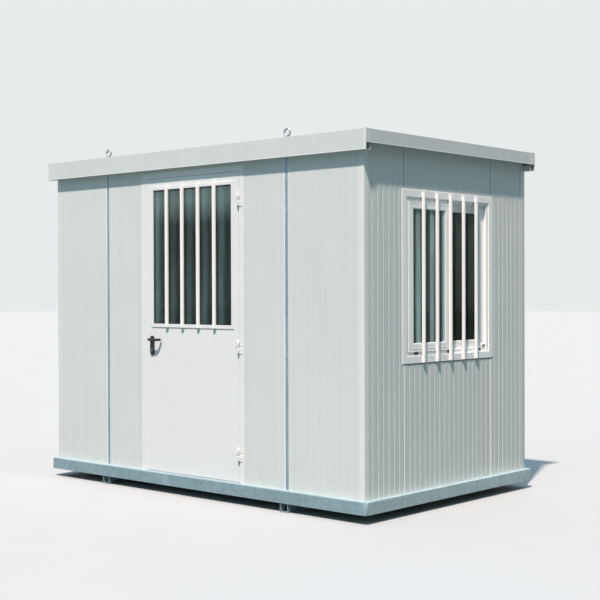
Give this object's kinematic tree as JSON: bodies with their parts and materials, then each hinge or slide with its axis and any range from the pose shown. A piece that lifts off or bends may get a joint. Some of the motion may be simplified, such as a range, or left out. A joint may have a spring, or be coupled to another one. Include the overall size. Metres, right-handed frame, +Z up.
{
  "type": "portable site cabin",
  "caption": "Portable insulated site cabin on a galvanised base, with a glazed door that opens outward, a sliding window, deep eaves channels and lifting eyes",
  "frame": {"origin": "on the ground under the middle of the wall rectangle", "axes": "+X along the door wall to its right seen from outside, +Y from the door wall to the rear wall, +Z up"},
  "size_m": [3.216, 1.989, 2.5299],
  "materials": {
    "wall_paint": "satin",
    "white_paint": "satin",
    "galvanised": "dull",
    "roof_metal": "satin",
    "floor_wood": "matte",
    "window_white": "gloss",
    "glass": "gloss",
    "handle_black": "satin"
  },
  "bodies": {
    "cabin": {"base_long_rails": "galvanised", "base_end_rails": "galvanised", "cross_runners": "galvanised", "underfloor_sheet": "galvanised", "floor_joists": "galvanised", "floor_board": "floor_wood", "lifting_posts": "galvanised", "lifting_eyes": "galvanised", "front_wall_left": "wall_paint", "front_wall_latch_side": "wall_paint", "front_wall_hinge_side": "wall_paint", "front_wall_right": "wall_paint", "front_wall_head": "wall_paint", "rear_wall_left": "wall_paint", "rear_wall_middle": "wall_paint", "rear_wall_right": "wall_paint", "left_wall": "wall_paint", "right_wall_front": "wall_paint", "right_wall_rear": "wall_paint", "right_wall_below_window": "wall_paint", "right_wall_above_window": "wall_paint", "roof_panel": "wall_paint", "roof_sheet": "roof_metal", "front_eaves_channel": "white_paint", "rear_eaves_channel": "white_paint", "side_fascias": "white_paint", "eaves_corner_caps": "white_paint", "door_latch_jamb": "white_paint", "door_hinge_jamb": "white_paint", "door_head": "white_paint", "door_threshold": "white_paint", "frame_hinges": "white_paint", "window_frame": "window_white", "left_sash": "window_white", "right_sash": "window_white", "left_sash_glass": "glass", "right_sash_glass": "glass"},
    "door": {"door_leaf": "white_paint", "door_glazing_trim_outside": "white_paint", "door_glazing_trim_inside": "white_paint", "door_glass": "glass", "leaf_hinges": "white_paint", "handle_plate_outside": "handle_black", "handle_plate_inside": "handle_black"},
    "handle": {"lever_handle": "handle_black"}
  },
  "joints": [
    {"name": "door_hinge", "type": "hinge", "parent": "cabin", "child": "door", "pos_m": [0.4575, -0.9495, 0], "axis": [0, 0, 1], "range_deg": [0, 110]},
    {"name": "lever_turn", "type": "hinge", "parent": "door", "child": "handle", "pos_m": [-0.428, -0.92, 1.104], "axis": [0, 1, 0], "range_deg": [0, 35], "stiffness_Nm_per_rad": 2}
  ]
}
